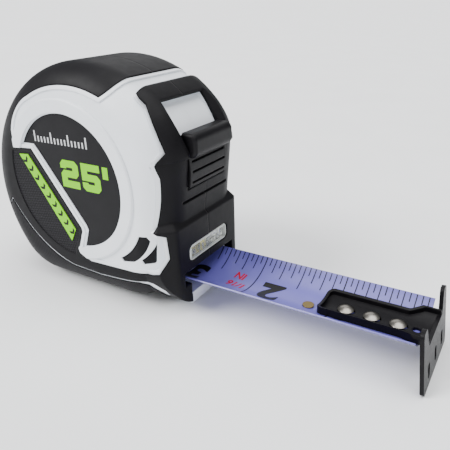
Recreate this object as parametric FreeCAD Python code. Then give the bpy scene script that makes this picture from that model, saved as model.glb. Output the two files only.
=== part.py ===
import FreeCAD, Part
import math
import os

# A pocket tape measure, in millimetres.
# +X runs out along the blade, -Y is the labelled side, +Z is up.
# The origin is on the flat base, straight below the reel's axis.

Vector = FreeCAD.Vector
ALONG_X = Vector(1, 0, 0)
ALONG_Y = Vector(0, 1, 0)
ALONG_Z = Vector(0, 0, 1)

# Case outline: a round rim, cut by a flat base, a sloping brow and an upright front.
case_half_width = 19.5
side_rounding = 10.0
rim_x = 2.0
rim_z = 29.8
rim_radius = 38.6
base_front_x = 31.0
knee_x = 36.0
knee_z = 47.9
brow_x = 21.9
brow_z = 69.0
corner_rounding = 17.0

# Nose block round the mouth and the lamp.
nose_x = 34.8
nose_top = 27.4
nose_half_width = 15.5
nose_cheek_x = 30.6
nose_cheek_half_width = 18.9
nose_keel_rounding = 14.0
nose_rounding = 2.5
nose_chamfer = 1.8

# Layers of the case: (inset of the rim, inset of the sides).
frame_layer = (-0.9, 0.0)
outer_layer = (0.0, 0.0)
line_layer = (0.3, 0.3)
lip_layer = (0.3, 0.0)
shell_layer = (0.8, 0.3)
slot_face_layer = (1.0, 0.6)
slot_floor_layer = (2.0, 1.5)
core_layer = (2.9, 1.6)
cavity_layer = (4.3, 3.2)
lip_width = 1.1

# Round motif on the sides.
reel_z = 35.4
label_radius = 19.8
label_thickness = 0.8
label_face = 18.95
ring_radius = 24.0
ring_inner_radius = 20.1
ring_rise = 0.4
ring_edge = 0.6
pad_radius = 23.4
pad_face = 19.35
pad_thickness = 1.0
stripe_face = 19.6

# Reel and its spring.
post_radius = 3.5
post_half_length = 16.0
post_boss_radius = 6.0
post_bore_radius = 1.5
drum_radius = 16.3
drum_wall = 1.0
drum_half_width = 12.6
coil_radius = 24.5
coil_half_width = 12.5
spring_inner_radius = 7.5
flange_radius = 25.6
flange_thickness = 0.8
wound_step = 0.5
running_gap = 0.05
fit_gap = 0.1

# Steel blade, arched across its width.
blade_width = 25.0
arch_radius = 15.9
blade_thickness = 0.3
blade_low = 4.8
blade_tail_x = 27.8
blade_end_x = 97.8
blade_travel = 50.3

# Hook and its rivets.
hook_x = 99.7
hook_thickness = 1.0
hook_half_width = 12.9
hook_low = -3.4
hook_high = 13.7
hook_lean = 6.5
hook_lean_z = 4.5
hook_play = 1.1
tongue_x = 71.0
tongue_half_width = 5.4
tongue_flare_x = 93.0
tongue_root_half_width = 7.6
tongue_thickness = 0.8
tongue_lift = 0.1
tongue_rim = 1.2
tongue_rim_width = 0.8
rivet_xs = (77.7, 84.6, 91.4)
rivet_radius = 2.2
rivet_dome_radius = 3.3
rivet_dome_height = 0.9
rivet_shank_radius = 1.3
rivet_low_radius = 2.0
eyelet_x = 67.8
eyelet_y = -2.0
eyelet_radius = 1.6

# Lamp in the nose.
lamp_half_width = 10.1
lamp_low = 13.9
lamp_high = 19.1
lamp_corner = 1.9
lens_back_x = 32.8
lens_front_x = 34.7
reflector_x = 30.4
board_x = 29.5
board_half_height = 4.0
battery_x = 25.5
battery_z = 18.0
battery_radius = 3.95
battery_height = 3.6
battery_count = 3
battery_y = 4.6
battery_wall = 0.8
contact_thickness = 0.6
door_radius = 4.9
door_seat_y = 16.6
door_face_y = 18.3

# Lock slider, which turns on an arc about an axis across the case.
lock_x = 13.0
lock_z = 41.0
lock_outer_radius = 22.9
lock_inner_radius = 21.5
lock_floor_radius = 21.1
lock_half_width = 9.1
lock_low_angle = -11.8
lock_groove_angles = (-8.6, -1.0, 6.2)
lock_high_angle = 25.0
lock_travel = 16.0
channel_half_width = 9.4
channel_low = 35.6
channel_high = 58.6
flare_low = -3.6
flare_high = 14.0
flare_depth = 2.0
groove_x = 33.7
groove_z = 32.4
stem_inner_radius = 13.6
stem_low_angle = -7.0
stem_high_angle = 3.0
stem_half_width = 3.0

thumb_x = 38.2
thumb_low = 44.6
thumb_high = 51.1
thumb_rounding = 2.0
thumb_end_rounding = 0.9

# Brake, a cranked bar that presses one edge of the blade.
brake_x0 = 25.9
brake_x1 = 27.9
brake_top = 39.0
brake_low = 10.05
brake_shoe_x = 29.2

# Mouth and chin.
mouth_half_width = 12.9
mouth_low = 3.6
mouth_shoulder = 7.2
mouth_high = 11.7
chin_half_width = 9.7
chin_back_x = 28.7
chin_x = 34.4
chin_low = 0.2

# Case screws: (x, z) of each, driven in from the right side.
screw_places = ((-20.0, 14.5), (18.2, 13.2), (21.4, 54.2))
boss_radius = 2.4
screw_radius = 1.0
screw_head_radius = 2.3
screw_seat_y = 16.6

# Belt clip on the right side.
clip_seat_y = 20.2
clip_thickness = 1.0
clip_half_width = 9.0
clip_boss_radius = 8.8
clip_neck_radius = 2.0
clip_gap = 4.3
clip_bend_z = 50.0


def save(name, shape):
    if not shape.isValid():
        raise ValueError(name)
    shape.exportStep("parts/" + name + ".step")


def face_xz(points, y=0.0):
    """A face in the plane y. A plain point ends a line; a pair (through, end) is an arc."""
    edges = []

    def at(p):
        return Vector(p[0], y, p[1])

    here = points[0]
    for step in list(points[1:]) + [points[0]]:
        if isinstance(step[0], tuple):
            edges.append(Part.Arc(at(here), at(step[0]), at(step[1])).toShape())
            here = step[1]
        elif step != here:
            edges.append(Part.makeLine(at(here), at(step)))
            here = step
    return Part.Face(Part.Wire(edges))


def prism(points, y0, y1):
    return face_xz(points, y0).extrude(Vector(0, y1 - y0, 0))


def disc(x, z, radius, y0, y1):
    return Part.makeCylinder(radius, y1 - y0, Vector(x, y0, z), ALONG_Y)


def rod_x(y, z, radius, x0, x1):
    return Part.makeCylinder(radius, x1 - x0, Vector(x0, y, z), ALONG_X)


def rod_z(x, y, radius, z0, z1):
    return Part.makeCylinder(radius, z1 - z0, Vector(x, y, z0), ALONG_Z)


def block(x0, x1, y0, y1, z0, z1):
    return Part.makeBox(x1 - x0, y1 - y0, z1 - z0, Vector(x0, y0, z0))


def mirrored(shape):
    return shape.mirror(Vector(0, 0, 0), ALONG_Y)


def runs_along(edge, axis):
    return all(abs(edge.tangentAt(t).dot(axis)) > 0.999 for t in edge.ParameterRange)


def edges_at_y(shape, y):
    return [e for e in shape.Edges if all(abs(v.Y - y) < 1e-4 for v in e.Vertexes)]


def envelope(layer):
    """The case's form without the nose, shrunk by the layer's two insets."""
    rim_inset, side_inset = layer
    far = 80.0
    half = case_half_width - side_inset
    slope = (brow_z - knee_z) / (knee_x - brow_x)
    sides = [(-far, 0.0), (base_front_x, 0.0), (knee_x, knee_z), (knee_x - far, knee_z + far * slope)]
    circle = Part.Face(Part.Wire(Part.makeCircle(rim_radius, Vector(rim_x, 0, rim_z), ALONG_Y)))
    outline = face_xz(sides).common(circle).Faces[0]
    outline = outline.makeOffset2D(-corner_rounding).makeOffset2D(corner_rounding - rim_inset)
    outline.translate(Vector(0, -half, 0))
    body = outline.extrude(Vector(0, 2 * half, 0))
    rounding = side_rounding - max(rim_inset, side_inset, 0.0)
    return body.makeFillet(rounding, edges_at_y(body, half) + edges_at_y(body, -half))


def nose(layer):
    """The block that stands forward round the mouth and the lamp."""
    inset = layer[0]
    side_inset = layer[1]
    half = case_half_width - side_inset
    plan = [(0, nose_cheek_half_width), (nose_cheek_x, nose_cheek_half_width), (nose_x, nose_half_width)]
    plan = plan + [(x, -y) for x, y in reversed(plan)]
    face = Part.Face(Part.makePolygon([Vector(x, y, 0) for x, y in plan + plan[:1]]))
    if inset:
        face = face.makeOffset2D(-inset)
    body = face.extrude(Vector(0, 0, nose_top - inset))
    if inset < nose_rounding - 1:
        uprights = [e for e in body.Edges if runs_along(e, ALONG_Z) and e.CenterOfMass.x > nose_cheek_x + 1]
        body = body.makeFillet(nose_rounding - inset, uprights)
        top = [e for e in body.Edges if e.CenterOfMass.z > nose_top - inset - 0.01]
        body = body.makeChamfer(nose_chamfer, [e for e in top if e.CenterOfMass.x > nose_cheek_x - 20])
    half = min(half, nose_cheek_half_width - inset)
    section = block(-5, nose_x, -half, half, inset, 2 * nose_top)
    keel = [e for e in section.Edges if runs_along(e, ALONG_X) and e.CenterOfMass.z < inset + 0.01]
    return body.common(section.makeFillet(nose_keel_rounding - inset, keel))


def case_form(layer):
    return envelope(layer).fuse(nose(layer)).removeSplitter()


# The white shell shows inside this side-view outline, which crosses the top as a band.
shell_outline = [
    (18.5, 80.0), (18.5, 64.4), ((17.0, 62.1), (14.9, 60.4)),
    ((1.6, 62.8), (-12.5, 59.1)), ((-18.6, 54.8), (-21.4, 48.6)),
    (-21.2, 43.4), (-13.7, 43.9), (2.7, 21.8), (2.9, 20.7), (0.5, 14.6), (0.9, 13.3), (4.8, 11.3),
    (27.8, 12.2), (30.4, 13.0), (33.0, 17.8), (32.6, 24.4), (29.4, 25.5),
    ((31.3, 33.9), (31.8, 40.8)), (30.9, 44.2), (33.4, 47.4), ((30.4, 53.6), (27.0, 58.7)),
    (25.1, 60.2), (23.8, 61.4), (23.8, 80.0)]

# The raised frame round the lock takes in everything forward of this outline.
frame_outline = [
    (23.8, 80.0), (23.8, 61.4), (25.1, 60.2), (27.0, 58.7), ((30.4, 53.6), (33.4, 47.4)), (31.4, 44.8),
    (60.0, 44.8), (60.0, 80.0)]

# Lower bumper, and the slightly larger outline that leaves the thin white line above it.
bumper_outline = [
    (-45.0, 21.6), (-30.2, 22.4), (-27.4, 25.6), (-25.7, 23.4), ((-16.1, 13.3), (-3.2, 7.5)),
    (7.7, 7.0), (22.5, 8.2), (24.6, 7.6), (28.2, 4.6), (28.6, -5.0), (-45.0, -5.0)]
line_outline = [
    (-45.0, 22.2), (-30.5, 23.0), (-27.3, 26.4), (-25.2, 23.7), ((-15.7, 13.8), (-3.0, 8.1)),
    (7.7, 7.6), (23.5, 8.9), (27.2, 8.9), (30.8, 7.0), (32.4, -5.0), (-45.0, -5.0)]

# The label is a disc cut off along these lines; the grip pad fills the other side.
label_cut = [
    (-40.0, 44.7), (-12.7, 45.3), (-10.9, 43.2), (4.5, 22.9), (5.1, 21.4), (2.4, 14.0),
    (40.0, -10.0), (40.0, 80.0), (-40.0, 80.0)]
pad_cut = [
    (-40.0, 42.2), (-14.4, 42.7), (1.4, 21.3), (1.5, 20.3), (-1.4, 13.0), (-2.0, -10.0), (-40.0, -10.0)]
stripe_outline = [(-19.4, 41.6), (-15.6, 41.9), (0.1, 20.7), (-2.2, 16.6)]
slot_outlines = (
    [(24.4, 23.6), (26.8, 23.7), (27.6, 22.5), ((25.4, 18.2), (21.6, 15.0)), (17.9, 14.3), (17.1, 15.4),
     ((21.4, 18.8), (24.4, 23.6))],
    [(29.2, 22.2), (30.2, 22.3), (31.1, 19.3), (28.0, 15.5), (25.2, 15.0), (24.5, 16.2),
     ((27.3, 18.9), (29.2, 22.2))])


def left_half(shape):
    return shape.common(block(-60, 60, -60, 0, -20, 90))


def slab(points, depth_from, depth_to):
    """A side-view outline as a slab on the left side, between two distances from the middle."""
    return prism(points, -depth_from, -depth_to)


def label_solid():
    body = disc(0, reel_z, label_radius, -label_face, -label_face + label_thickness)
    return body.common(slab(label_cut, 30, 10))


def pad_solid():
    body = disc(0, reel_z, pad_radius, -pad_face, -pad_face + pad_thickness)
    return body.common(slab(pad_cut, 30, 10))


def stripe_solid():
    return slab(stripe_outline, stripe_face, pad_face)


def slot_solids(forms):
    """Black inlays in the two slanted slots of the left side."""
    ring = forms["slot_face"].cut(forms["slot_floor"])
    return [slab(outline, 30, 10).common(ring) for outline in slot_outlines]


def mouth_cut():
    """The mouth, narrower below so that its floor follows the arched blade."""
    low_half = chin_half_width + 0.2
    low = block(20, 60, -low_half, low_half, mouth_low, mouth_shoulder)
    return low.fuse(block(20, 60, -mouth_half_width, mouth_half_width, mouth_shoulder, mouth_high))


def lamp_window(x0, x1, grow):
    body = block(x0, x1, -lamp_half_width - grow, lamp_half_width + grow, lamp_low - grow, lamp_high + grow)
    return body.makeFillet(lamp_corner + grow, [e for e in body.Edges if runs_along(e, ALONG_X)])


def sector(r0, r1, angle0, angle1, half_width):
    """Part of a ring about the lock's axis; angles are degrees above +X."""
    def at(r, angle):
        a = math.radians(angle)
        return (lock_x + r * math.cos(a), lock_z + r * math.sin(a))
    middle = (angle0 + angle1) / 2
    points = [at(r0, angle0), at(r1, angle0), (at(r1, middle), at(r1, angle1)),
              at(r0, angle1), (at(r0, middle), at(r0, angle0))]
    return prism(points, -half_width, half_width)


def lock_channel():
    """The opening in the black skin that the lock slider moves in."""
    return block(24, 60, -channel_half_width, channel_half_width, channel_low, channel_high)


def window_flare():
    """Slopes the loop's inner edges back, one to one, square to the brow."""
    run = Vector(brow_x - knee_x, 0, brow_z - knee_z).normalize()
    out = Vector(run.z, 0, -run.x)
    knee = Vector(knee_x, 0, knee_z)

    def ring(rise):
        half = channel_half_width + 0.8 + rise
        corners = [(-half, flare_low), (half, flare_low), (half, flare_high + rise), (-half, flare_high + rise)]
        places = [knee + run * s + out * rise + Vector(0, y, 0) for y, s in corners]
        return Part.makePolygon(places + places[:1])

    return Part.makeLoft([ring(-flare_depth), ring(flare_depth)], True)


def lock_floor():
    """The white track that the lock slider runs on."""
    track = block(24, 60, -channel_half_width + fit_gap, 0, channel_low + fit_gap, channel_high - fit_gap)
    return disc(lock_x, lock_z, lock_floor_radius, -30, 30).common(track)


def shell_lip(forms):
    """The raised edge that runs round the white shell, against the black skin."""
    inner = face_xz(shell_outline, -61).makeOffset2D(-lip_width).extrude(Vector(0, 122, 0))
    return forms["lip"].common(prism(shell_outline, -60, 60)).cut(inner)


def side_ring():
    """The raised ring round the label, rounded at its outer edge."""
    face_y = -case_half_width - ring_rise
    ring = disc(0, reel_z, ring_radius, face_y, -15)
    ring = ring.makeFillet(ring_edge, edges_at_y(ring, face_y))
    return ring.cut(disc(0, reel_z, ring_inner_radius, -30, 0)).common(prism(shell_outline, -60, 60))


def shell_half(forms):
    """The left white shell, without what only one side has."""
    shown = forms["shell"].common(prism(shell_outline, -60, 60))
    line = prism(line_outline, -60, 60).cut(prism(bumper_outline, -61, 61))
    line = forms["line"].common(line)
    chin = block(chin_back_x, chin_x, -chin_half_width, chin_half_width, chin_low, mouth_low)
    solid = forms["core"].fuse([shown, line, chin, side_ring(), shell_lip(forms), lock_floor()])
    solid = left_half(solid).cut(forms["cavity"])
    solid = solid.cut(label_solid())
    solid = solid.cut(disc(0, reel_z, label_radius, -30, -label_face).common(slab(label_cut, 30, 10)))
    boss = disc(0, reel_z, post_boss_radius, -case_half_width + 2, -coil_half_width - 1.4)
    solid = solid.fuse(boss).cut(disc(0, reel_z, post_radius, -post_half_length, 0))
    for x, z in screw_places:
        solid = solid.fuse(disc(x, z, boss_radius, -screw_seat_y - 0.1, 0))
    tail_path = block(blade_tail_x - blade_travel - 0.4, 0, -12.0, 0, blade_low - 0.5, 10.4)
    solid = solid.cut(tail_path).cut(mouth_cut())
    solid = solid.cut(lamp_window(reflector_x - 3, 60, 0.4))
    solid = solid.cut(lock_channel().cut(disc(lock_x, lock_z, lock_floor_radius, -30, 30)))
    slot = sector(10, 30, lock_low_angle + 0.5, stem_high_angle + lock_travel + 1.5, stem_half_width + 0.4)
    return solid.cut(slot).removeSplitter()


def rubber_half(forms):
    """Soft black skin of the left half: back grip, lower band, frame and nose."""
    raised = forms["frame"].common(prism(frame_outline, -60, 60))
    skin = forms["outer"].fuse(raised).cut(forms["core"])
    skin = left_half(skin)
    skin = skin.cut(prism(shell_outline, -60, 60)).cut(prism(line_outline, -60, 60))
    skin = skin.cut(pad_solid()).cut(mouth_cut())
    skin = skin.cut(disc(0, reel_z, pad_radius, -30, -pad_face).common(slab(pad_cut, 30, 10)))
    skin = skin.cut(block(28, 60, -chin_half_width, chin_half_width, -5, mouth_low + 0.1))
    skin = skin.cut(lamp_window(28, 60, 0.0))
    groove = block(groove_x, 40, -11.2, 11.2, groove_z - 0.4, groove_z + 0.4)
    return skin.cut(lock_channel()).cut(window_flare()).cut(groove).removeSplitter()


def bumper_half(forms):
    skin = forms["outer"].common(prism(bumper_outline, -60, 60)).cut(forms["core"])
    return left_half(skin)


def finish_left(shell, forms):
    """Left side only: slots for the inlays, and pilot holes for the case screws."""
    for outline in slot_outlines:
        shell = shell.cut(slab(outline, 30, 10).cut(forms["slot_floor"]))
    for x, z in screw_places:
        shell = shell.cut(disc(x, z, screw_radius + running_gap, -case_half_width + 3.5, 0))
    return shell


def clip_boss(gap):
    return disc(0, reel_z, clip_boss_radius + gap, 17.5, clip_seat_y)


def head_recesses():
    recesses = [disc(x, z, screw_head_radius + 0.2, screw_seat_y, 30) for x, z in screw_places]
    return Part.Compound(recesses + [disc(battery_x, battery_z, door_radius + fit_gap, door_seat_y, 30)])


def finish_right(shell):
    """Right side only: screw holes, battery tube, and the clip's boss with its bore."""
    tube = disc(battery_x, battery_z, battery_radius + battery_wall, battery_y - 1.6, door_seat_y + 0.4)
    shell = shell.fuse([tube, clip_boss(0)])
    shell = shell.cut(disc(battery_x, battery_z, battery_radius + 0.15, battery_y - 0.7, 30))
    for x, z in screw_places:
        shell = shell.cut(disc(x, z, screw_radius + 0.3, 0, 30))
    shell = shell.cut(disc(0, reel_z, clip_neck_radius + fit_gap, 0, 30))
    return shell.cut(head_recesses()).removeSplitter()


def label_right_solid():
    return mirrored(label_solid()).cut(clip_boss(fit_gap))


def battery_door():
    """A round cover with a coin slot."""
    body = disc(battery_x, battery_z, door_radius, door_seat_y + 0.02, door_face_y)
    body = body.makeFillet(0.4, edges_at_y(body, door_face_y))
    slot = block(battery_x - 3.4, battery_x + 3.4, door_face_y - 0.8, 30, battery_z - 0.6, battery_z + 0.6)
    return body.cut(slot)


def battery_cells():
    cells = []
    for i in range(battery_count):
        y = battery_y + i * (battery_height + running_gap)
        cell = disc(battery_x, battery_z, battery_radius, y, y + battery_height)
        cells.append(cell.makeFillet(0.3, edges_at_y(cell, y + battery_height)))
    return Part.Compound(cells)


def battery_contacts():
    """A plate behind the stack of cells and another under the door."""
    plates = []
    stack = battery_count * (battery_height + running_gap)
    for y in (battery_y - 0.05 - contact_thickness, battery_y + stack):
        plates.append(disc(battery_x, battery_z, 3.2, y, y + contact_thickness))
    return Part.Compound(plates)


def led_lens():
    lens = lamp_window(lens_back_x, lens_front_x, -fit_gap)
    front = [e for e in lens.Edges if e.CenterOfMass.x > lens_front_x - 0.01]
    return lens.makeFillet(0.5, front)


def led_reflector():
    """A bright tray with a tapered well that opens towards the lens."""
    body = lamp_window(reflector_x, lens_back_x - fit_gap, -fit_gap)
    z = (lamp_low + lamp_high) / 2

    def ring(x, half_y, half_z):
        corners = [(-half_y, -half_z), (half_y, -half_z), (half_y, half_z), (-half_y, half_z)]
        return Part.makePolygon([Vector(x, y, z + dz) for y, dz in corners + corners[:1]])

    well = Part.makeLoft([ring(reflector_x - 0.01, 2.2, 1.5), ring(lens_back_x, 8.8, 2.2)], True)
    return body.cut(well)


def led_chip():
    z = (lamp_low + lamp_high) / 2
    base = block(reflector_x + 0.02, reflector_x + 0.5, -1.8, 1.8, z - 1.2, z + 1.2)
    dome = Part.makeSphere(1.1, Vector(reflector_x + 0.5, 0, z), ALONG_X, 0, 90, 360)
    return base.fuse(dome)


def led_board():
    z = (lamp_low + lamp_high) / 2
    return block(board_x, reflector_x - 0.02, -9.6, 2.6, z - board_half_height, z + board_half_height)


def light_switch():
    """A small push switch on the back of the lamp's board."""
    body = block(board_x - 1.3, board_x - 0.02, -7.4, -3.4, lamp_low, lamp_low + 3.4)
    return body.fuse(rod_x(-5.4, lamp_low + 1.7, 0.8, board_x - 1.8, board_x - 1.3))


def reel_post():
    post = disc(0, reel_z, post_radius - 0.02, -post_half_length, post_half_length)
    post = post.cut(block(-0.6, 0.6, -10, 10, reel_z - 5, reel_z + 5))
    return post.cut(disc(0, reel_z, post_bore_radius, 4.0, 20))


def reel_drum():
    tube = disc(0, reel_z, drum_radius, -drum_half_width, drum_half_width)
    tube = tube.cut(disc(0, reel_z, drum_radius - drum_wall, -drum_half_width + 1.0, 30))
    flange = disc(0, reel_z, flange_radius, -drum_half_width - flange_thickness, -drum_half_width)
    bore = disc(0, reel_z, post_radius + running_gap, -30, 30)
    return tube.fuse(flange).cut(bore).removeSplitter()


def drum_cover():
    flange = disc(0, reel_z, flange_radius, drum_half_width, drum_half_width + flange_thickness)
    for i in range(6):
        a = math.radians(60 * i)
        x = 11.0 * math.cos(a)
        z = reel_z + 11.0 * math.sin(a)
        flange = flange.cut(disc(x, z, 2.2, 0, 30))
    return flange.cut(disc(0, reel_z, post_radius + running_gap, 0, 30))


def wound_strip(inner_radius, outer_radius, half_width):
    """Wound strip as one closed pack, with the step where its outer turn ends."""
    pack = disc(0, reel_z, outer_radius, -half_width, half_width)
    turn = pack.cut(disc(0, reel_z, outer_radius - wound_step, -half_width, half_width))
    pack = pack.cut(turn.common(block(0, 40, -half_width, half_width, 0, reel_z)))
    return pack.cut(disc(0, reel_z, inner_radius, -half_width, half_width))


def blade_coil():
    return wound_strip(drum_radius + running_gap, coil_radius, coil_half_width)


def mainspring():
    outer = drum_radius - drum_wall - running_gap
    return wound_strip(spring_inner_radius, outer, drum_half_width - 1.2)


def arch(radius_out, radius_in, x0, x1, half_angle):
    """A strip that runs along X, arched about a line above the blade's middle."""
    centre_z = blade_low + arch_radius
    a = half_angle

    def at(radius, angle):
        return Vector(x0, radius * math.sin(angle), centre_z - radius * math.cos(angle))

    edges = [Part.Arc(at(radius_out, -a), at(radius_out, 0), at(radius_out, a)).toShape(),
             Part.makeLine(at(radius_out, a), at(radius_in, a)),
             Part.Arc(at(radius_in, a), at(radius_in, 0), at(radius_in, -a)).toShape(),
             Part.makeLine(at(radius_in, -a), at(radius_out, -a))]
    return Part.Face(Part.Wire(edges)).extrude(Vector(x1 - x0, 0, 0))


def blade():
    half_angle = blade_width / 2 / arch_radius
    body = arch(arch_radius, arch_radius - blade_thickness, blade_tail_x, blade_end_x, half_angle)
    for x in rivet_xs:
        body = body.cut(rod_z(x, 0, rivet_shank_radius + 0.02, 0, 20))
    return body


def rivets():
    tongue_top = blade_low + blade_thickness + tongue_lift + tongue_thickness
    seat = tongue_top + 0.27
    solids = []
    for x in rivet_xs:
        shank = rod_z(x, 0, rivet_shank_radius, blade_low - 0.5, seat + 0.2)
        low = rod_z(x, 0, rivet_low_radius, blade_low - 0.8, blade_low - 0.02)
        dome = Part.makeSphere(rivet_dome_radius, Vector(x, 0, seat + rivet_dome_height - rivet_dome_radius))
        dome = dome.common(rod_z(x, 0, rivet_radius, seat, seat + 3))
        solids.append(shank.fuse([low, dome]).removeSplitter())
    return Part.Compound(solids)


def blade_eyelet():
    """A small flat stud behind the tongue."""
    z = blade_low + blade_thickness + 0.42
    return rod_z(eyelet_x, eyelet_y, eyelet_radius, z, z + 0.3)


def tongue_plan(inset):
    """The tongue's outline from above, as a tall solid: square to the case, flared at the plate."""
    half = tongue_half_width - inset
    root = tongue_root_half_width - inset
    side = [(tongue_x + inset, half), (tongue_flare_x, half), (tongue_flare_x + 3.4, root), (hook_x + 3, root)]
    plan = side + [(x, -y) for x, y in reversed(side)]
    body = Part.Face(Part.makePolygon([Vector(x, y, 0) for x, y in plan + plan[:1]])).extrude(Vector(0, 0, 20))
    uprights = [e for e in body.Edges if runs_along(e, ALONG_Z) and e.CenterOfMass.x < hook_x]
    return body.makeFillet(2.0 - inset, uprights)


def hook_plate():
    """The plate across the blade's end, with two prongs above and three slots below."""
    x0 = hook_x
    x1 = hook_x + hook_thickness
    plate = block(x0, x1, -hook_half_width, hook_half_width, hook_low, hook_high)
    notch = [(-9.9, hook_high + 1), (-7.8, 7.6), (7.8, 7.6), (9.9, hook_high + 1)]
    face = Part.Face(Part.makePolygon([Vector(x0 - 1, y, z) for y, z in notch + notch[:1]]))
    plate = plate.cut(face.extrude(Vector(3, 0, 0)))
    plate = plate.makeFillet(1.3, [e for e in plate.Edges if runs_along(e, ALONG_X)])
    for y in (-7.6, 0.0, 7.6):
        slot = block(x0 - 1, x1 + 1, y - 1.0, y + 1.0, -1.3, 2.9)
        plate = plate.cut(slot.makeFillet(0.99, [e for e in slot.Edges if runs_along(e, ALONG_X)]))
    return plate.rotate(Vector(hook_x, 0, hook_lean_z), ALONG_Y, -hook_lean)


def hook():
    """The end hook: a rimmed tongue that slides under the rivets, folded down into a leaning plate."""
    tongue_r = arch_radius - blade_thickness - tongue_lift
    floor_r = tongue_r - tongue_thickness
    angle = (tongue_root_half_width + 1) / tongue_r
    body = arch(tongue_r, floor_r - tongue_rim, tongue_x - 1, hook_x + 0.5, angle).common(tongue_plan(0))
    hollow = arch(floor_r, floor_r - 4, tongue_x - 1, hook_x + 3, angle).common(tongue_plan(tongue_rim_width))
    body = body.cut(hollow).fuse(hook_plate())
    for x in rivet_xs:
        slot = block(x - 1.4, x + 1.4 + hook_play, -1.4, 1.4, 0, 20)
        body = body.cut(slot.makeFillet(1.39, [e for e in slot.Edges if runs_along(e, ALONG_Z)]))
    return body.cut(rod_z(96.0, 0, 1.1, 0, 20)).removeSplitter()


def lock_slider():
    """Ribbed curved plate with a stem that reaches through the shell."""
    plate = sector(lock_inner_radius, lock_outer_radius, lock_low_angle, lock_high_angle, lock_half_width)
    for angle in lock_groove_angles:
        groove = sector(lock_outer_radius - 0.7, 30, angle - 0.8, angle + 0.8, lock_half_width - 1.0)
        plate = plate.cut(groove)
    stem = sector(stem_inner_radius, lock_inner_radius + 0.5, stem_low_angle, stem_high_angle, stem_half_width)
    return plate.fuse(stem).removeSplitter()


def thumb_pad():
    """The raised bar that the thumb pushes."""
    half = lock_half_width + 0.2
    body = block(31.0, thumb_x, -half, half, thumb_low, thumb_high)
    front = [e for e in body.Edges if runs_along(e, ALONG_Y) and e.CenterOfMass.x > thumb_x - 0.01]
    body = body.makeFillet(thumb_rounding, front)
    body = body.makeFillet(thumb_end_rounding, edges_at_y(body, half) + edges_at_y(body, -half))
    return body.cut(disc(lock_x, lock_z, lock_outer_radius, -30, 30))


def brake_bar():
    """Cranked bar from under the lock's stem down to one edge of the blade."""
    upper = block(brake_x0, brake_x1, -3.0, 3.0, 26.4, brake_top)
    crank = block(brake_x0, brake_x1, -11.0, 3.0, 26.4, 29.0)
    leg = block(brake_x0, brake_x1, -11.0, -8.6, brake_low + 1.7, 29.0)
    return upper.fuse([crank, leg]).removeSplitter()


def brake_shoe():
    return block(brake_x0 - 0.6, brake_shoe_x, -11.6, -8.2, brake_low, brake_low + 1.7)


def case_screws():
    solids = []
    for x, z in screw_places:
        head = disc(x, z, screw_head_radius, screw_seat_y + 0.02, screw_seat_y + 1.6)
        head = head.makeFillet(0.4, edges_at_y(head, screw_seat_y + 1.6))
        shank = disc(x, z, screw_radius, -11.0, screw_seat_y + 0.5)
        cross = block(x - 1.3, x + 1.3, screw_seat_y + 0.8, 30, z - 0.25, z + 0.25)
        cross = cross.fuse(block(x - 0.25, x + 0.25, screw_seat_y + 0.8, 30, z - 1.3, z + 1.3))
        solids.append(head.fuse(shank).cut(cross))
    return Part.Compound(solids)


def belt_clip():
    """Spring-steel clip: a pad under the screw, a bend at the top and a long leaf."""
    inner = clip_seat_y + clip_thickness
    outer = inner + clip_gap
    back = outer + clip_thickness
    middle = inner + clip_gap / 2

    def at(y, z):
        return Vector(-clip_half_width, y, z)

    def bend(y0, y1, radius):
        return Part.Arc(at(y0, clip_bend_z), at(middle, clip_bend_z + radius), at(y1, clip_bend_z)).toShape()

    leaf = [(back, clip_bend_z), (25.4, 18.0), (27.0, 11.5), (26.1, 11.2), (24.4, 18.0), (outer, clip_bend_z)]
    edges = [Part.makeLine(at(clip_seat_y, 27.0), at(clip_seat_y, clip_bend_z))]
    edges.append(bend(clip_seat_y, back, clip_gap / 2 + clip_thickness))
    edges += [Part.makeLine(at(*a), at(*b)) for a, b in zip(leaf, leaf[1:])]
    edges.append(bend(outer, inner, clip_gap / 2))
    edges.append(Part.makeLine(at(inner, clip_bend_z), at(inner, 27.0)))
    edges.append(Part.makeLine(at(inner, 27.0), at(clip_seat_y, 27.0)))
    body = Part.Face(Part.Wire(edges)).extrude(Vector(2 * clip_half_width, 0, 0))
    corners = [e for e in body.Edges if runs_along(e, ALONG_Y) and abs(e.CenterOfMass.z - 27.0) < 0.1]
    body = body.makeFillet(3.0, corners)
    body = body.cut(disc(0, reel_z, clip_neck_radius + fit_gap, 0, inner + 1))
    return body.cut(disc(0, reel_z, 5.2, inner + 1, 60))


def clip_screw():
    seat = clip_seat_y + clip_thickness + 0.02
    head = disc(0, reel_z, 3.9, seat, seat + 2.0)
    head = head.makeFillet(0.7, edges_at_y(head, seat + 2.0))
    shank = disc(0, reel_z, post_bore_radius - running_gap, 6.0, seat)
    neck = disc(0, reel_z, clip_neck_radius, post_half_length + 0.2, seat)
    cross = block(-2.0, 2.0, seat + 1.0, 60, reel_z - 0.35, reel_z + 0.35)
    cross = cross.fuse(block(-0.35, 0.35, seat + 1.0, 60, reel_z - 2.0, reel_z + 2.0))
    return head.fuse([shank, neck]).cut(cross).removeSplitter()


def build_forms():
    return {
        "outer": case_form(outer_layer), "frame": envelope(frame_layer), "line": case_form(line_layer),
        "lip": case_form(lip_layer), "shell": case_form(shell_layer), "core": case_form(core_layer),
        "cavity": case_form(cavity_layer), "slot_face": case_form(slot_face_layer),
        "slot_floor": case_form(slot_floor_layer)}


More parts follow.
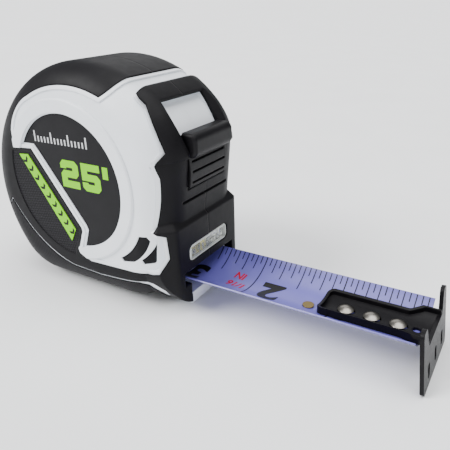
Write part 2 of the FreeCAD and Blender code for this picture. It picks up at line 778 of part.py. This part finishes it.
def main():
    os.makedirs("parts", exist_ok=True)
    forms = build_forms()
    shell = shell_half(forms)
    rubber = rubber_half(forms)
    bumper = bumper_half(forms)
    shell_left = finish_left(shell, forms)
    shell_right = finish_right(mirrored(shell))
    rubber_right = mirrored(rubber).cut(head_recesses()).cut(clip_boss(fit_gap))
    nodes = {
        "shell_left": shell_left, "shell_right": shell_right,
        "rubber_left": rubber, "rubber_right": rubber_right,
        "bumper_left": bumper, "bumper_right": mirrored(bumper).cut(head_recesses()),
        "label_left": label_solid(), "label_right": label_right_solid(),
        "grip_pad_left": pad_solid(), "grip_pad_right": mirrored(pad_solid()).cut(clip_boss(fit_gap)),
        "stripe_left": stripe_solid(), "slot_inlays": Part.Compound(slot_solids(forms)),
        "led_lens": led_lens(), "led_reflector": led_reflector(), "led_chip": led_chip(),
        "led_board": led_board(), "light_switch": light_switch(),
        "battery_cells": battery_cells(), "battery_contacts": battery_contacts(),
        "battery_door": battery_door(), "reel_post": reel_post(), "reel_drum": reel_drum(),
        "drum_cover": drum_cover(), "blade_coil": blade_coil(), "mainspring": mainspring(),
        "blade": blade(), "rivets": rivets(), "blade_eyelet": blade_eyelet(), "hook": hook(),
        "lock_slider": lock_slider(), "thumb_pad": thumb_pad(), "brake_bar": brake_bar(),
        "brake_shoe": brake_shoe(), "case_screws": case_screws(), "belt_clip": belt_clip(),
        "clip_screw": clip_screw()}
    for name, shape in nodes.items():
        print(name, shape.isValid(), len(shape.Solids), round(shape.Volume, 1))
        save(name, shape)


main()
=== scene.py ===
import bpy
import math
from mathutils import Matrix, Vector


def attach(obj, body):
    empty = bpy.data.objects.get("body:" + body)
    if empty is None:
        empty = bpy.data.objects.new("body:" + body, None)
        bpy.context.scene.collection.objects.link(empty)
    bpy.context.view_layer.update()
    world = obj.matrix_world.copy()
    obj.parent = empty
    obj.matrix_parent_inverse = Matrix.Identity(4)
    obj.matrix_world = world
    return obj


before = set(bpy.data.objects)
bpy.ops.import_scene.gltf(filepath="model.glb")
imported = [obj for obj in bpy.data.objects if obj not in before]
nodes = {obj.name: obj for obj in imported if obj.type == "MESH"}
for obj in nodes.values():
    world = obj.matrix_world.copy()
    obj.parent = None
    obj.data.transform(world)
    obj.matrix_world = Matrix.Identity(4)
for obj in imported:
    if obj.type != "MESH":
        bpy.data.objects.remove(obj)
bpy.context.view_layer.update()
mm = 0.001


# ---------- camera, floor and light ----------

cameraSet = {
    "place": (0.1127, -0.1151, 0.0834),
    "turn": (66.02, 1.50, 31.44),
    "lens": 41.3,
}
cameraData = bpy.data.cameras.new("camera")
cameraData.lens = cameraSet["lens"]
cameraData.sensor_width = 36
cameraData.clip_start = 0.005
cameraData.dof.use_dof = False
camera = bpy.data.objects.new("camera", cameraData)
camera.location = cameraSet["place"]
camera.rotation_euler = [math.radians(a) for a in cameraSet["turn"]]
bpy.context.scene.collection.objects.link(camera)
bpy.context.scene.camera = camera


def linear(hexColour):
    # sRGB hex to the linear values that the shaders take
    channels = [int(hexColour[i:i + 2], 16) / 255 for i in (1, 3, 5)]
    return tuple(c / 12.92 if c <= 0.04045 else ((c + 0.055) / 1.055) ** 2.4 for c in channels) + (1.0,)


def deselect():
    if bpy.context.object and bpy.context.object.mode != "OBJECT":
        bpy.ops.object.mode_set(mode="OBJECT")
    bpy.ops.object.select_all(action="DESELECT")


def addNode(tree, kind, settings=None, links=None):
    node = tree.nodes.new("ShaderNode" + kind)
    for key, value in (settings or {}).items():
        if isinstance(key, int) or key in node.inputs:
            node.inputs[key].default_value = value
        else:
            setattr(node, key, value)
    for key, source in (links or {}).items():
        tree.links.new(source, node.inputs[key])
    return node


def newMaterial(name, colour, roughness, metallic=0.0, ior=None, sheen=None):
    material = bpy.data.materials.new(name)
    material.use_nodes = True
    shader = material.node_tree.nodes["Principled BSDF"]
    shader.inputs["Base Color"].default_value = linear(colour)
    shader.inputs["Roughness"].default_value = roughness
    shader.inputs["Metallic"].default_value = metallic
    if ior:
        shader.inputs["IOR"].default_value = ior
    if sheen:
        shader.inputs["Specular IOR Level"].default_value = sheen
    return material, material.node_tree, shader


def spots(tree, size, detail=2.0):
    # noise whose blobs are about size millimetres across, in object space
    place = addNode(tree, "TexCoord")
    return addNode(tree, "TexNoise", {"Scale": 1000 / size, "Detail": detail, "Roughness": 0.55},
                   {"Vector": place.outputs["Object"]})


def grainAndEdge(tree, shader, grain, depth, edge=None, height=None):
    # moulded grain as a bump, over edges that are softened by the mould's small radius
    source = height or spots(tree, grain).outputs["Fac"]
    bump = addNode(tree, "Bump", {"Strength": 1.0, "Distance": depth * mm}, {"Height": source})
    if edge:
        soft = addNode(tree, "Bevel", {"Radius": edge * mm, "samples": 6})
        tree.links.new(soft.outputs["Normal"], bump.inputs["Normal"])
    tree.links.new(bump.outputs["Normal"], shader.inputs["Normal"])


def shadeSpots(tree, shader, socket, low, high, size):
    # lets one value wander between two limits, in soft patches
    mix = addNode(tree, "MapRange", {"To Min": low, "To Max": high},
                  {"Value": spots(tree, size).outputs["Fac"]})
    tree.links.new(mix.outputs["Result"], shader.inputs[socket])


def colourSpots(tree, shader, first, second, size):
    ramp = addNode(tree, "ValToRGB", None, {"Fac": spots(tree, size).outputs["Fac"]})
    ramp.color_ramp.elements[0].position = 0.3
    ramp.color_ramp.elements[0].color = linear(first)
    ramp.color_ramp.elements[1].position = 0.7
    ramp.color_ramp.elements[1].color = linear(second)
    tree.links.new(ramp.outputs["Color"], shader.inputs["Base Color"])


stageSet = {"back": (-0.0200, 0.0), "tip": (0.1006, -0.0034), "colour": "#f4f5f6"}
deselect()
bpy.ops.mesh.primitive_plane_add(size=40, location=(0, 0, 0))
floor = bpy.context.object
floor.name = "floor"
backX, backZ = stageSet["back"]
tipX, tipZ = stageSet["tip"]
slope = (tipZ - backZ) / (tipX - backX)
for corner in floor.data.vertices:      # the case's heel and the hook's tip both touch the floor
    corner.co.z = backZ + slope * (corner.co.x - backX) - 0.00015
floorPaint, floorTree, floorShader = newMaterial("matt studio paper", stageSet["colour"], 0.85)
colourSpots(floorTree, floorShader, "#f3f4f5", "#f6f7f8", 40)
floor.data.materials.append(floorPaint)

lightSet = {
    # the side that each soft light comes from, its width in degrees, and its strength
    "key": {"from": (-0.45, -0.50, 0.60), "width": 30, "power": 3.7},
    "top": {"from": (0.15, 0.05, 1.00), "width": 60, "power": 3.4},
    "right": {"from": (0.80, -0.60, 0.40), "width": 30, "power": 0.5},
    "back": {"from": (-0.40, 0.80, 0.50), "width": 40, "power": 0.4},
}
for name, values in lightSet.items():
    lamp = bpy.data.lights.new(name, "SUN")
    lamp.angle = math.radians(values["width"])
    lamp.energy = values["power"]
    light = bpy.data.objects.new(name, lamp)
    light.location = values["from"]
    light.rotation_euler = Vector(values["from"]).to_track_quat("Z", "Y").to_euler()
    bpy.context.scene.collection.objects.link(light)
world = bpy.data.worlds.new("studio")
world.use_nodes = True
world.node_tree.nodes["Background"].inputs["Color"].default_value = linear("#f2f5fa")
world.node_tree.nodes["Background"].inputs["Strength"].default_value = 0.33
bpy.context.scene.world = world
print("stage, camera and lights made")


# ---------- finishes ----------

# ABS, injection moulded in a lightly sparked tool: clean cool white with a soft sheen
whiteAbs, tree, shader = newMaterial("white ABS", "#f1f5fa", 0.34, ior=1.53)
colourSpots(tree, shader, "#eff3f8", "#f3f7fc", 9)
shadeSpots(tree, shader, "Roughness", 0.30, 0.40, 3)
grainAndEdge(tree, shader, 0.25, 0.004, edge=0.30)

# thermoplastic rubber, overmoulded: near-black, satin, faintly grained
blackRubber, tree, shader = newMaterial("black TPR overmould", "#0d0c0f", 0.50, ior=1.50, sheen=0.15)
colourSpots(tree, shader, "#0b0a0d", "#100f12", 6)
shadeSpots(tree, shader, "Roughness", 0.44, 0.56, 2.5)
grainAndEdge(tree, shader, 0.22, 0.010, edge=0.70)

# the same rubber on the bumper, where the mould is finely ribbed from top to bottom
bumperRubber, tree, shader = newMaterial("ribbed TPR bumper", "#141316", 0.55, ior=1.50, sheen=0.15)
colourSpots(tree, shader, "#121114", "#18171a", 6)
place = addNode(tree, "TexCoord")
ribPitch = 0.8               # mm from rib to rib
ribs = addNode(tree, "TexWave",
               {"bands_direction": "X", "Scale": 1000 / ribPitch * math.pi / 10, "Distortion": 0.6},
               {"Vector": place.outputs["Object"]})
grainAndEdge(tree, shader, 0.22, 0.030, edge=0.50, height=ribs.outputs["Fac"])

# polyester label, screen printed charcoal: flat with a slight satin haze
labelFilm, tree, shader = newMaterial("printed charcoal film", "#0f0e11", 0.48, ior=1.55, sheen=0.15)
colourSpots(tree, shader, "#0e0d10", "#131215", 4)
grainAndEdge(tree, shader, 0.12, 0.003, edge=0.15)

# grip insert: small raised squares in rows, as knurled rubber
gripRubber, tree, shader = newMaterial("square-knurled TPR", "#141316", 0.58, ior=1.50, sheen=0.15)
place = addNode(tree, "TexCoord")
turn = addNode(tree, "Mapping", {"Rotation": (0, math.radians(8), 0), "Scale": (1000 / 0.8, 1, 1000 / 0.8)},
               {"Vector": place.outputs["Object"]})
axes = addNode(tree, "SeparateXYZ", None, {"Vector": turn.outputs["Vector"]})
waves = []
for axis in ("X", "Z"):                  # 0.8 mm from square to square
    step = addNode(tree, "Math", {"operation": "PINGPONG", 1: 0.5}, {0: axes.outputs[axis]})
    waves.append(addNode(tree, "MapRange", {"From Min": 0.08, "From Max": 0.20},
                         {"Value": step.outputs["Value"]}))
both = addNode(tree, "Math", {"operation": "MULTIPLY"},
               {0: waves[0].outputs["Result"], 1: waves[1].outputs["Result"]})
# painted shade: the grooves between the squares are coloured darker and the square tops lighter, as shade
# and light would fall on them
paintedGrooveShade = addNode(tree, "ValToRGB", None, {"Fac": both.outputs["Value"]})
paintedGrooveShade.color_ramp.elements[0].color = linear("#060507")
paintedGrooveShade.color_ramp.elements[1].color = linear("#242327")
tree.links.new(paintedGrooveShade.outputs["Color"], shader.inputs["Base Color"])
grainAndEdge(tree, shader, 0.2, 0.12, height=both.outputs["Value"])

# fluorescent screen ink: the strongest colour on the tape, a saturated yellow-green
neonInk, tree, shader = newMaterial("fluorescent ink", "#82d800", 0.55, ior=1.50, sheen=0.1)
shadeSpots(tree, shader, "Roughness", 0.40, 0.52, 1.5)

# flat black and flat red screen inks on the blade
blackInk, tree, shader = newMaterial("black scale ink", "#08080b", 0.45, ior=1.50, sheen=0.3)
shadeSpots(tree, shader, "Roughness", 0.36, 0.48, 1.0)
redInk, tree, shader = newMaterial("red scale ink", "#a80422", 0.45, ior=1.50, sheen=0.3)
shadeSpots(tree, shader, "Roughness", 0.36, 0.48, 1.0)
greyInk, tree, shader = newMaterial("light grey ink", "#c9cacc", 0.42, ior=1.50)
shadeSpots(tree, shader, "Roughness", 0.36, 0.48, 1.0)

# spring steel under pale violet lacquer and clear nylon: smooth, with a soft wet gloss
bladeLacquer, tree, shader = newMaterial("violet lacquered spring steel", "#5f5ba8", 0.40, ior=1.50)
colourSpots(tree, shader, "#5c58a5", "#625eac", 12)
shader.inputs["Coat Weight"].default_value = 0.35
shader.inputs["Coat Roughness"].default_value = 0.16
grainAndEdge(tree, shader, 0.5, 0.004)

# black oxide and powder on the hook: dark, close-grained, with duller pits
hookCoat, tree, shader = newMaterial("black powder-coated steel", "#09080b", 0.42, ior=1.50, sheen=0.15)
colourSpots(tree, shader, "#08070a", "#0c0b0e", 2)
shadeSpots(tree, shader, "Roughness", 0.30, 0.50, 1.2)
grainAndEdge(tree, shader, 0.18, 0.012, edge=0.20)

# black acetal and ABS small parts
blackPlastic, tree, shader = newMaterial("black moulded ABS", "#0c0b0e", 0.48, ior=1.53, sheen=0.15)
colourSpots(tree, shader, "#0a090c", "#0f0e11", 5)
shadeSpots(tree, shader, "Roughness", 0.40, 0.52, 2)
grainAndEdge(tree, shader, 0.22, 0.008, edge=0.45)


def metalFinish(name, colour, roughLow, roughHigh, stretch=(1, 1, 1), grain=0.15, depth=0.004, edge=0.15):
    # plated or brushed metal: fine scratches along the long axis of the stretch
    material, tree, shader = newMaterial(name, colour, roughLow, metallic=1.0)
    place = addNode(tree, "TexCoord")
    lines = addNode(tree, "Mapping", {"Scale": stretch}, {"Vector": place.outputs["Object"]})
    noise = addNode(tree, "TexNoise", {"Scale": 1000 / grain, "Detail": 2.0},
                    {"Vector": lines.outputs["Vector"]})
    rough = addNode(tree, "MapRange", {"To Min": roughLow, "To Max": roughHigh},
                    {"Value": noise.outputs["Fac"]})
    tree.links.new(rough.outputs["Result"], shader.inputs["Roughness"])
    grainAndEdge(tree, shader, grain, depth, edge=edge, height=noise.outputs["Fac"])
    return material


nickel = metalFinish("nickel-plated steel", "#c9c4bb", 0.16, 0.30)
rivetSteel = metalFinish("dulled nickel rivets", "#8f8b84", 0.26, 0.36, grain=0.4, depth=0.001)
brass = metalFinish("dull brass eyelet", "#86744a", 0.25, 0.40)
clipSteel = metalFinish("brushed spring steel", "#b9bcc0", 0.26, 0.42, stretch=(1, 1, 0.04))
zincSteel = metalFinish("zinc-plated steel", "#a7a8aa", 0.28, 0.44)
springSteel = metalFinish("blued spring steel", "#5d6472", 0.28, 0.42, stretch=(1, 0.05, 1))
pressedSteel = metalFinish("pressed steel", "#a9a7a3", 0.30, 0.46)
mirrorCoat = metalFinish("vacuum-metallised plastic", "#dfe0de", 0.08, 0.18, grain=0.6)

# wound blade seen edge-on: the turns show as fine rings
coilLacquer, tree, shader = newMaterial("wound lacquered blade", "#8f90c8", 0.42, ior=1.50)
colourSpots(tree, shader, "#8586bd", "#999ad2", 1.2)
grainAndEdge(tree, shader, 0.3, 0.010)

# natural acetal and dark nylon inside the case
whiteAcetal, tree, shader = newMaterial("natural acetal", "#e4e2da", 0.42, ior=1.48)
grainAndEdge(tree, shader, 0.3, 0.006, edge=0.2)
darkNylon, tree, shader = newMaterial("glass-filled nylon", "#2f3034", 0.50, ior=1.53)
colourSpots(tree, shader, "#2b2c30", "#37383c", 1.5)
grainAndEdge(tree, shader, 0.25, 0.012, edge=0.2)
boardGreen, tree, shader = newMaterial("green solder mask", "#1d5a34", 0.35, ior=1.55)
colourSpots(tree, shader, "#1a5230", "#22663b", 1.5)
grainAndEdge(tree, shader, 0.4, 0.006)

# phosphor over the diode: opaque yellow, slightly waxy, with a faint painted glow from a small emission
phosphor, tree, shader = newMaterial("phosphor silicone", "#f0df4e", 0.35, ior=1.41)
shader.inputs["Emission Color"].default_value = linear("#fff27a")
shader.inputs["Emission Strength"].default_value = 0.25
colourSpots(tree, shader, "#eedb3e", "#f6e96a", 0.6)

# clear polycarbonate lamp window, with small flutes moulded on its back that break up the view
windowSet = {"height": 16.5, "halfWidth": 9.1, "halfHeight": 1.8}    # mm, inside the frosted rim
clearPc, tree, shader = newMaterial("clear polycarbonate", "#f2f6ee", 0.06, ior=1.58)
shader.inputs["Transmission Weight"].default_value = 0.92
place = addNode(tree, "TexCoord")
stretch = addNode(tree, "Mapping", {"Scale": (1, 1, 0.45)}, {"Vector": place.outputs["Object"]})
facets = addNode(tree, "TexVoronoi", {"Scale": 1000 / 1.5}, {"Vector": stretch.outputs["Vector"]})
grainAndEdge(tree, shader, 0.3, 0.20, height=facets.outputs["Distance"])
axes = addNode(tree, "SeparateXYZ", None, {"Vector": place.outputs["Object"]})
sideways = addNode(tree, "Math", {"operation": "ABSOLUTE"}, {0: axes.outputs["Y"]})
level = addNode(tree, "Math", {"operation": "SUBTRACT", 1: windowSet["height"] * mm}, {0: axes.outputs["Z"]})
upDown = addNode(tree, "Math", {"operation": "ABSOLUTE"}, {0: level.outputs["Value"]})
nearEnd = addNode(tree, "Math", {"operation": "SUBTRACT", 1: windowSet["halfWidth"] * mm},
                  {0: sideways.outputs["Value"]})
nearSide = addNode(tree, "Math", {"operation": "SUBTRACT", 1: windowSet["halfHeight"] * mm},
                   {0: upDown.outputs["Value"]})
rim = addNode(tree, "Math", {"operation": "MAXIMUM"},
              {0: nearEnd.outputs["Value"], 1: nearSide.outputs["Value"]})
frost = addNode(tree, "MapRange", {"From Min": -0.1 * mm, "From Max": 0.15 * mm},
                {"Value": rim.outputs["Value"]})
rough = addNode(tree, "MapRange", {"To Min": 0.06, "To Max": 0.55}, {"Value": frost.outputs["Result"]})
clear = addNode(tree, "MapRange", {"To Min": 0.92, "To Max": 0.25}, {"Value": frost.outputs["Result"]})
tree.links.new(rough.outputs["Result"], shader.inputs["Roughness"])
tree.links.new(clear.outputs["Result"], shader.inputs["Transmission Weight"])
print("finishes made")

finishOf = {
    "shell_left": whiteAbs, "shell_right": whiteAbs, "rubber_left": blackRubber, "rubber_right": blackRubber,
    "bumper_left": bumperRubber, "bumper_right": bumperRubber,
    "label_left": labelFilm, "label_right": labelFilm,
    "grip_pad_left": gripRubber, "grip_pad_right": gripRubber,
    "stripe_left": neonInk, "slot_inlays": blackRubber,
    "led_lens": clearPc, "led_reflector": mirrorCoat, "led_chip": phosphor, "led_board": boardGreen,
    "light_switch": blackPlastic, "battery_cells": nickel, "battery_contacts": nickel,
    "battery_door": blackPlastic, "reel_post": whiteAcetal, "reel_drum": darkNylon, "drum_cover": darkNylon,
    "blade_coil": coilLacquer, "mainspring": springSteel, "blade": bladeLacquer, "rivets": rivetSteel,
    "blade_eyelet": brass, "hook": hookCoat, "lock_slider": blackPlastic, "thumb_pad": blackPlastic,
    "brake_bar": pressedSteel, "brake_shoe": blackRubber, "case_screws": zincSteel, "belt_clip": clipSteel,
    "clip_screw": zincSteel,
}
for name, material in finishOf.items():
    nodes[name].data.materials.clear()
    nodes[name].data.materials.append(material)


# ---------- print on the blade ----------

scaleSet = {
    "zero": 99.7,            # the hook's inner face, mm
    "inch": 25.4,
    "first": 32.0,           # the scale is drawn from here
    "last": 98.0,
    "tail": 28.1,            # the printing ends here, at the steel's inner end
    "edge": 12.15,           # from the middle line to the scale's edge, along the arch
    "lengths": {16: 2.6, 8: 4.8, 4: 6.3, 2: 8.1, 1: 24.2},
    "width": 0.30,
    "lift": 0.045,
    "digitHeight": 8.6,
    "digitFoot": 3.1,
}
archRadius = 15.6            # the blade's hollow side, mm
archTop = 20.7               # height of the arch's centre line, mm


def ontoBlade(piece, lift):
    # wraps a flat piece, drawn in millimetres along X and across the blade, on to the arch
    radius = archRadius - lift
    for vertex in piece.data.vertices:
        angle = vertex.co.y / archRadius
        rise = vertex.co.z
        vertex.co = Vector((vertex.co.x * mm, radius * math.sin(angle) * mm,
                            (archTop - radius * math.cos(angle) + rise) * mm))


def finishPiece(piece, name, material, body):
    piece.name = name
    piece.data.name = name
    piece.data.materials.clear()
    piece.data.materials.append(material)
    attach(piece, body)
    return piece


def strip(x0, x1, y0, y1, cuts):
    deselect()
    bpy.ops.mesh.primitive_grid_add(x_subdivisions=1, y_subdivisions=cuts, size=1)
    piece = bpy.context.object
    for vertex in piece.data.vertices:
        vertex.co.x = x0 + (vertex.co.x + 0.5) * (x1 - x0)
        vertex.co.y = y0 + (vertex.co.y + 0.5) * (y1 - y0)
    return piece


def joinAll(pieces):
    deselect()
    for piece in pieces:
        piece.select_set(True)
    bpy.context.view_layer.objects.active = pieces[0]
    bpy.ops.object.join()
    return bpy.context.object


def drawnText(words, size, place, turn, stretch, weight):
    # flat figures in millimetres, as a mesh with its place in its vertices
    deselect()
    bpy.ops.object.text_add(location=place, rotation=turn)
    text = bpy.context.object
    text.data.body = words
    text.data.size = size
    text.data.offset = weight
    text.data.resolution_u = 6
    text.scale = (stretch, 1, 1)
    bpy.ops.object.convert(target="MESH")
    text = bpy.context.object
    bpy.ops.object.transform_apply(location=True, rotation=True, scale=True)
    return text


def cutAcross(piece, low, high, step):
    # rows of cuts, so that flat figures can follow the arch, and a cut where the steel ends
    deselect()
    bpy.context.view_layer.objects.active = piece
    piece.select_set(True)
    bpy.ops.object.mode_set(mode="EDIT")
    y = low
    while y < high:
        bpy.ops.mesh.select_all(action="SELECT")
        bpy.ops.mesh.bisect(plane_co=(0, y, 0), plane_no=(0, 1, 0))
        y += step
    bpy.ops.mesh.select_all(action="SELECT")
    bpy.ops.mesh.bisect(plane_co=(scaleSet["tail"], 0, 0), plane_no=(1, 0, 0), clear_inner=True)
    bpy.ops.object.mode_set(mode="OBJECT")


marks = []
sixteenths = int((scaleSet["zero"] - scaleSet["first"]) / scaleSet["inch"] * 16)
for count in range(1, sixteenths + 1):
    x = scaleSet["zero"] - count * scaleSet["inch"] / 16
    if x > scaleSet["last"]:
        continue
    part = 16
    while part > 1 and count % (16 // (part // 2)) == 0:
        part //= 2
    length = scaleSet["lengths"][part]
    half = scaleSet["width"] / 2 * (1.15 if part == 1 else 1.0)
    cuts = 24 if part == 1 else 8
    marks.append(strip(x - half, x + half, scaleSet["edge"] - length, scaleSet["edge"], cuts))
scaleMarks = joinAll(marks)
ontoBlade(scaleMarks, scaleSet["lift"])
finishPiece(scaleMarks, "blade_scale_marks", blackInk, "blade_strip")

digits = []
for inch in (1, 2, 3):
    right = scaleSet["zero"] - inch * scaleSet["inch"] + (9.9 if inch > 1 else 6.4)
    digit = drawnText(str(inch), scaleSet["digitHeight"] / 0.70, (right, scaleSet["digitFoot"], 0),
                      (0, 0, math.pi), 1.10, 0.50)
    digits.append(digit)
bladeDigits = joinAll(digits)
cutAcross(bladeDigits, -6.5, 3.6, 0.5)
ontoBlade(bladeDigits, scaleSet["lift"])
finishPiece(bladeDigits, "blade_inch_figures", blackInk, "blade_strip")

redSet = {"words": ("IN", "1/16"), "size": 3.9, "places": ((45.6, 4.2), (47.8, -0.6))}
redParts = [drawnText(words, redSet["size"], (x, y, 0), (0, 0, math.pi - 0.12), 0.90, 0.12)
            for words, (x, y) in zip(redSet["words"], redSet["places"])]
bladeUnits = joinAll(redParts)
cutAcross(bladeUnits, -5.0, 4.5, 0.5)
ontoBlade(bladeUnits, scaleSet["lift"])
finishPiece(bladeUnits, "blade_unit_figures", redInk, "blade_strip")
print("blade printed")


# ---------- print on the label and the stripe ----------

labelSet = {
    "face": -18.965,         # just proud of the label, mm
    "stripeFace": -19.615,   # just proud of the stripe
    "footMark": (13.5, 15.5, 38.4, 41.9),
    "columns": (0, 2.3, 4.7, 7.0),
    "rows": (0, 2.2, 2.6, 3.1, 5.2, 5.7, 6.1, 8.2),
    "chamfer": 1.15,
    "figures": (
        # each row's filled cells from the foot up, the corners that are cut off, and where it stands
        {"cells": ("111", "100", "100", "111", "001", "101", "111"),
         "corners": ((0, 7), (3, 7), (3, 3), (0, 4)), "place": (-2.8, 33.8)},
        {"cells": ("111", "101", "001", "111", "100", "100", "111"),
         "corners": ((0, 0), (3, 0), (3, 4)), "place": (5.4, 33.8)},
    ),
}


def ontoSide(piece, y):
    # stands a flat drawing up against the labelled side, its X along X and its Y along Z
    for vertex in piece.data.vertices:
        vertex.co = Vector((vertex.co.x * mm, (y - vertex.co.z) * mm, vertex.co.y * mm))


def blockFigure(values):
    # a squared figure: a grid with some cells taken out and some corners cut off
    columns, rows = labelSet["columns"], labelSet["rows"]
    deselect()
    bpy.ops.mesh.primitive_grid_add(x_subdivisions=3, y_subdivisions=7, size=1)
    figure = bpy.context.object
    for vertex in figure.data.vertices:
        column = round((vertex.co.x + 0.5) * 3)
        row = round((vertex.co.y + 0.5) * 7)
        vertex.co = Vector((columns[column], rows[row], 0))
    bpy.ops.object.mode_set(mode="EDIT")
    bpy.ops.mesh.select_mode(type="FACE")
    bpy.ops.mesh.select_all(action="DESELECT")
    bpy.ops.object.mode_set(mode="OBJECT")
    for polygon in figure.data.polygons:
        column = sum(edge < polygon.center.x for edge in columns) - 1
        row = sum(edge < polygon.center.y for edge in rows) - 1
        polygon.select = values["cells"][row][column] == "0"
    bpy.ops.object.mode_set(mode="EDIT")
    bpy.ops.mesh.delete(type="FACE")
    bpy.ops.mesh.select_mode(type="VERT")
    bpy.ops.mesh.select_all(action="DESELECT")
    bpy.ops.object.mode_set(mode="OBJECT")
    for vertex in figure.data.vertices:
        spot = (round(vertex.co.x, 3), round(vertex.co.y, 3))
        vertex.select = spot in [(columns[c], rows[r]) for c, r in values["corners"]]
    bpy.ops.object.mode_set(mode="EDIT")
    bpy.ops.mesh.bevel(offset=labelSet["chamfer"], segments=1, affect="VERTICES")
    bpy.ops.object.mode_set(mode="OBJECT")
    placeX, placeZ = values["place"]
    for vertex in figure.data.vertices:
        vertex.co += Vector((placeX, placeZ, 0))
    return figure


figures = [blockFigure(values) for values in labelSet["figures"]]
footMark = strip(*labelSet["footMark"], 1)
labelFigure = joinAll(figures + [footMark])
ontoSide(labelFigure, labelSet["face"])
finishPiece(labelFigure, "label_figure", neonInk, "case")

tickSet = {"from": -12.0, "step": 1.36, "count": 16, "foot": 46.2, "tall": 3.2, "short": 1.7, "width": 0.55}
ticks = []
for i in range(tickSet["count"]):
    x = tickSet["from"] + i * tickSet["step"]
    top = tickSet["foot"] + (tickSet["tall"] if i % 5 == 0 else tickSet["short"])
    ticks.append(strip(x, x + tickSet["width"], tickSet["foot"], top, 1))
labelTicks = joinAll(ticks)
ontoSide(labelTicks, labelSet["face"])
finishPiece(labelTicks, "label_ticks", greyInk, "case")

barSet = {"start": (-16.6, 39.7), "end": (-1.1, 19.4), "count": 9, "half": 1.15, "thick": 0.9, "lean": 0.8}
bars = []
startPoint, endPoint = Vector(barSet["start"]), Vector(barSet["end"])
along = (endPoint - startPoint).normalized()
across = Vector((-along.y, along.x))
for i in range(barSet["count"]):
    middle = startPoint.lerp(endPoint, i / (barSet["count"] - 1))
    for side in (-1, 1):                 # the two arms of one arrowhead that points down the stripe
        bar = strip(-0.5, 0.5, 0, 1, 1)
        for vertex in bar.data.vertices:
            u = vertex.co.x * barSet["thick"] - vertex.co.y * barSet["lean"]
            spot = middle + along * u + across * (side * vertex.co.y * barSet["half"])
            vertex.co = Vector((spot.x, spot.y, 0))
        bars.append(bar)
stripeBars = joinAll(bars)
ontoSide(stripeBars, labelSet["stripeFace"])
finishPiece(stripeBars, "stripe_bars", labelFilm, "case")
print("label printed")
